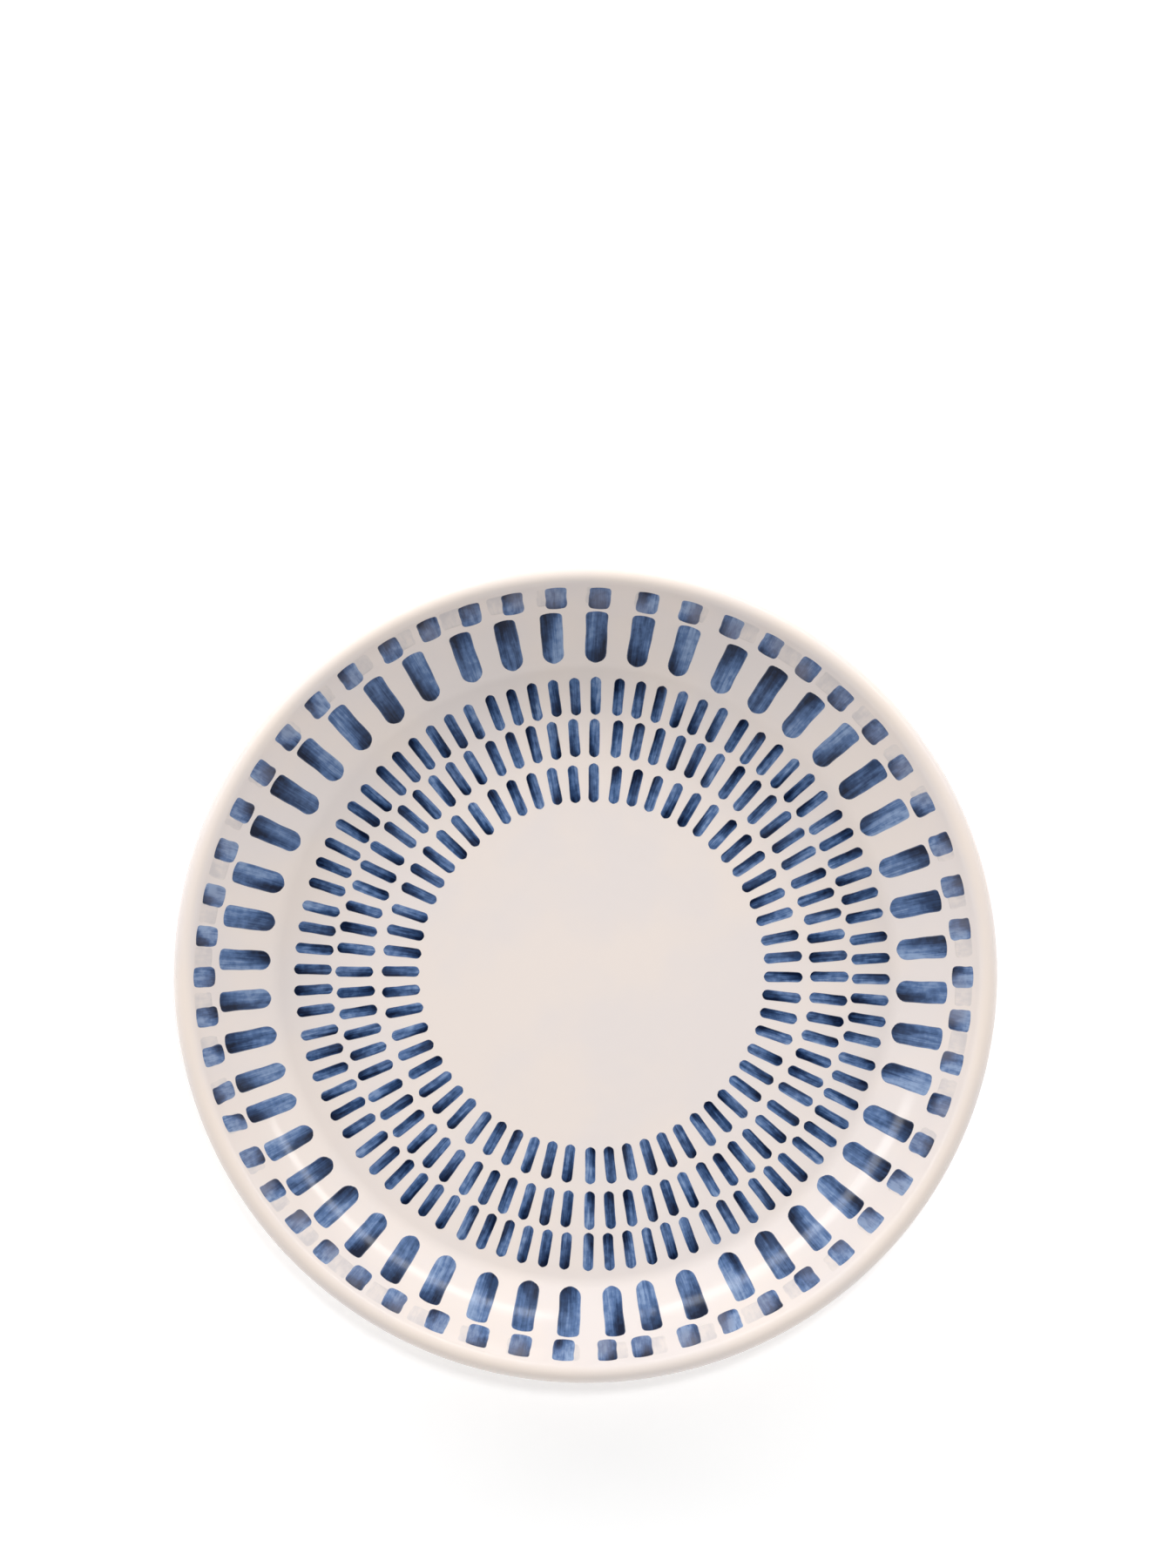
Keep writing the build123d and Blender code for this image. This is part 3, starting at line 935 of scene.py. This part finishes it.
@dataclass(frozen=True)
class PaintFinish:
    """Brushed pigment under the glaze's gloss, streaked along each stroke.

    Attributes:
        name: The material's name.
        stops: Colours from the palest film to the darkest pool, with their places from 0 to 1.
        grey: Colour of the greyed patches.
        depth: Added to the pigment's thickness.
        streaks: How much the streaks change the thickness.
        edge: Colour that the outline fades towards.
        fade: How far the outline fades.
        pace: How many streaks lie across a stroke.
    """

    name: str
    stops: tuple[tuple[float, tuple[float, ...]], ...]
    grey: tuple[float, ...]
    edge: tuple[float, ...]
    depth: float
    streaks: float
    fade: float
    pace: float

    def build(self) -> bpy.types.Material:
        """Makes the material, on each stroke's own map so that no two are streaked alike."""
        shader = Shader(self.name)
        stroke = shader.add("ShaderNodeUVMap", {}, uv_map="stroke").outputs["UV"]
        parts = shader.add("ShaderNodeSeparateXYZ", {0: stroke})
        seed = shader.attribute("stroke_seed")
        along = shader.math("MULTIPLY", parts.outputs["X"], 1.6)
        across = shader.math("MULTIPLY", parts.outputs["Y"], self.pace)
        at = shader.add("ShaderNodeCombineXYZ", {0: along, 1: across, 2: shader.math("MULTIPLY", seed, 7.0)})
        streaks = shader.remap(shader.noise(at.outputs["Vector"], 1.0, 4.0), 0.3, 0.7, -1.0, 1.0)
        finer = shader.math("MULTIPLY", across, 4.0)
        hairs_at = shader.add("ShaderNodeCombineXYZ", {0: along, 1: finer, 2: seed})
        hairs = shader.remap(shader.noise(hairs_at.outputs["Vector"], 1.0, 3.0), 0.3, 0.7, -0.5, 0.5)
        blots = shader.remap(shader.noise(shader.place(), 420.0, 3.0), 0.3, 0.7, -0.6, 0.6)
        uneven = shader.math("ADD", shader.math("ADD", streaks, hairs), blots)
        thick = shader.math("ADD", shader.attribute("pigment"), self.depth)
        thick = shader.math("ADD", thick, shader.math("MULTIPLY", uneven, self.streaks))
        body = shader.ramp(thick, list(self.stops))
        body = shader.mix(shader.attribute("grey"), body, self.grey)
        border = shader.remap(shader.attribute("inside"), 0.0, 1.0, self.fade, 0.0)
        colour = shader.mix(border, body, self.edge)
        skin = shader.glaze_skin(shader.place())
        return shader.finish({"Base Color": colour, "Roughness": GLOSS, "IOR": GLAZE_IOR, "Normal": skin})


BLUE_STOPS = (
    (0.0, linear(136, 158, 192)),
    (0.3, linear(84, 111, 154)),
    (0.62, linear(42, 65, 102)),
    (1.0, linear(6, 20, 46)),
)
WASH_STOPS = (
    (0.0, linear(224, 214, 208)),
    (0.5, linear(214, 206, 203)),
    (1.0, linear(205, 198, 197)),
)


class Finish(Enum):
    """The finishes of the plate's pieces."""

    DASH = PaintFinish(
        "dash paint", BLUE_STOPS, linear(96, 98, 112), linear(150, 160, 182), 0.08, 0.17, 0.25, 3.0
    )
    STROKE = PaintFinish(
        "stroke paint", BLUE_STOPS, linear(104, 108, 120), linear(150, 160, 182), 0.0, 0.14, 0.3, 5.0
    )
    SQUARE = PaintFinish(
        "square paint", BLUE_STOPS, linear(124, 125, 140), linear(160, 168, 188), -0.1, 0.14, 0.3, 4.0
    )
    WASH = PaintFinish(
        "wash", WASH_STOPS, linear(206, 199, 197), linear(222, 213, 207), 0.0, 0.25, 0.5, 4.0
    )


# ---- Studio ----


@dataclass(frozen=True)
class SoftBox:
    """A rectangular lamp that faces the plate.

    Attributes:
        name: Its name.
        bearing: Direction from the plate in degrees, counter-clockwise from +X.
        elevation: Height above the horizon in degrees.
        distance: Distance from the plate.
        width: Width along the horizon.
        height: Height.
        watts: Its power.
        glossy: True if the glaze mirrors it.
    """

    name: str
    bearing: float
    elevation: float
    distance: float
    width: float
    height: float
    watts: float
    glossy: bool = True

    def build(self) -> None:
        """Makes the lamp."""
        lamp = bpy.data.lights.new(self.name, "AREA")
        lamp.shape = "RECTANGLE"
        lamp.size, lamp.size_y = self.width, self.height
        lamp.energy = self.watts
        holder = bpy.data.objects.new(self.name, lamp)
        turn, rise = math.radians(self.bearing), math.radians(self.elevation)
        away = Vector((math.cos(turn) * math.cos(rise), math.sin(turn) * math.cos(rise), math.sin(rise)))
        holder.location = away * self.distance
        holder.rotation_euler = away.to_track_quat("Z", "Y").to_euler()
        holder.visible_glossy = self.glossy
        bpy.context.scene.collection.objects.link(holder)


@dataclass(frozen=True)
class Studio:
    """A pale floor, soft lamps and a camera that looks straight down the plate's axis.

    Attributes:
        floor_size: Side of the floor.
        floor_glow: Light given off by the floor.
        sky: Strength of the surrounding light near the horizon.
        zenith: Strength of the surrounding light straight above.
        above_lip: Height of the camera over the plate's lip.
        lens: Focal length in millimetres on a 36 mm sensor.
        shift: How far the picture's centre lies from the axis, as shares of the long side.
    """

    floor_size: float = 8.0
    floor_glow: float = 0.16
    sky: float = 0.46
    zenith: float = 0.05
    above_lip: float = 1.5
    lens: float = 101.15
    shift: tuple[float, float] = (0.0015, 0.1213)

    def floor(self) -> bpy.types.Object:
        """Makes the floor that the foot stands on."""
        shader = Shader("studio floor")
        tone = shader.remap(shader.noise(shader.place(), 3.0, 2.0), 0.3, 0.7, 0.94, 0.96)
        material = shader.finish(
            {
                "Base Color": shader.add("ShaderNodeCombineColor", {0: tone, 1: tone, 2: tone}).outputs[0],
                "Roughness": 0.9,
                "Specular IOR Level": 0.1,
                "Emission Color": (1.0, 1.0, 1.0, 1.0),
                "Emission Strength": self.floor_glow,
            }
        )
        half = self.floor_size / 2
        corners = [(-half, -half, 0.0), (half, -half, 0.0), (half, half, 0.0), (-half, half, 0.0)]
        mesh = bpy.data.meshes.new("studio_floor")
        mesh.from_pydata(corners, [], [(0, 1, 2, 3)])
        mesh.materials.append(material)
        floor = bpy.data.objects.new("studio_floor", mesh)
        bpy.context.scene.collection.objects.link(floor)
        return floor

    def surroundings(self) -> None:
        """Makes the soft surrounding light, which is dimmer straight above, behind the camera."""
        world = bpy.data.worlds.new("studio")
        world.use_nodes = True
        tree = world.node_tree
        place = tree.nodes.new("ShaderNodeTexCoord")
        parts = tree.nodes.new("ShaderNodeSeparateXYZ")
        strength = tree.nodes.new("ShaderNodeMapRange")
        levels = {"From Min": 0.6, "From Max": 0.95, "To Min": self.sky, "To Max": self.zenith}
        for name, value in levels.items():
            strength.inputs[name].default_value = value
        background = tree.nodes["Background"]
        background.inputs["Color"].default_value = (1.0, 1.0, 1.0, 1.0)
        tree.links.new(place.outputs["Generated"], parts.inputs[0])
        tree.links.new(parts.outputs["Z"], strength.inputs["Value"])
        tree.links.new(strength.outputs["Result"], background.inputs["Strength"])
        bpy.context.scene.world = world

    def camera(self, lip_height: float) -> bpy.types.Object:
        """Makes the camera on the plate's axis, over the lip, with +Y at the top of the picture."""
        data = bpy.data.cameras.new("camera")
        data.lens = self.lens
        data.sensor_width = 36.0
        data.shift_x, data.shift_y = self.shift
        data.clip_start, data.clip_end = 0.05, 50.0
        camera = bpy.data.objects.new("camera", data)
        camera.location = (0.0, 0.0, lip_height + self.above_lip)
        bpy.context.scene.collection.objects.link(camera)
        return camera


LAMPS = (
    SoftBox("upper_left_strip", 130.0, 21.5, 1.0, 1.05, 0.11, 1.7),
    SoftBox("upper_right_strip", 55.0, 21.5, 1.0, 1.05, 0.11, 1.9),
    SoftBox("upper_left_screen", 128.0, 20.0, 1.2, 1.1, 0.5, 7.0, glossy=False),
    SoftBox("upper_right_screen", 57.0, 20.0, 1.2, 1.1, 0.5, 4.6, glossy=False),
    SoftBox("lower_fill", 270.0, 60.0, 1.6, 0.9, 0.9, 8.5, glossy=False),
    SoftBox("over_key", 65.0, 82.0, 1.8, 0.16, 0.16, 6.5, glossy=False),
)


# ---- Putting it together ----


@dataclass(frozen=True)
class PaintedPlate:
    """The whole plate, with every piece laid on one turned shape."""

    shape: PlateShape

    def build(self) -> list[bpy.types.Object]:
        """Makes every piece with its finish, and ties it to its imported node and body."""
        glaze = GlazeFinish(self.shape.height - 1.2 * MM).build()
        finishes = {"cream_glaze": glaze, "fired_clay": ClayFinish().build()}
        paints = {finish: finish.value.build() for finish in Finish}
        made = []
        for part in turned_parts(self.shape):
            made.append(self.tie(part.build(self.shape, finishes[part.slot]), part.node))
        for ring in dash_rings(self.shape):
            made.append(self.tie(ring.build(self.shape, paints[Finish.DASH]), ring.node))
        for ring, finish in zip(rim_rings(self.shape), (Finish.STROKE, Finish.SQUARE, Finish.WASH)):
            made.append(self.tie(ring.build(self.shape, paints[finish]), ring.node))
        return made

    def tie(self, piece: bpy.types.Object, node: str) -> bpy.types.Object:
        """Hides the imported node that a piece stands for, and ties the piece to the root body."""
        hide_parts(node)
        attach(piece, ROOT)
        log.info("%s stands for %s with %d faces", piece.name, node, len(piece.data.polygons))
        return piece


def main() -> None:
    """Builds the plate, then the studio round it."""
    logging.basicConfig(level=logging.INFO, format="%(name)s: %(message)s")
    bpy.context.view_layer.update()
    shape = PlateShape.from_frame()
    pieces = PaintedPlate(shape).build()
    studio = Studio()
    studio.floor()
    studio.surroundings()
    for lamp in LAMPS:
        lamp.build()
    bpy.context.scene.camera = studio.camera(shape.height)
    bpy.context.scene.view_settings.view_transform = "Standard"
    log.info("%d pieces", len(pieces))


if __name__ == "__main__":
    main()
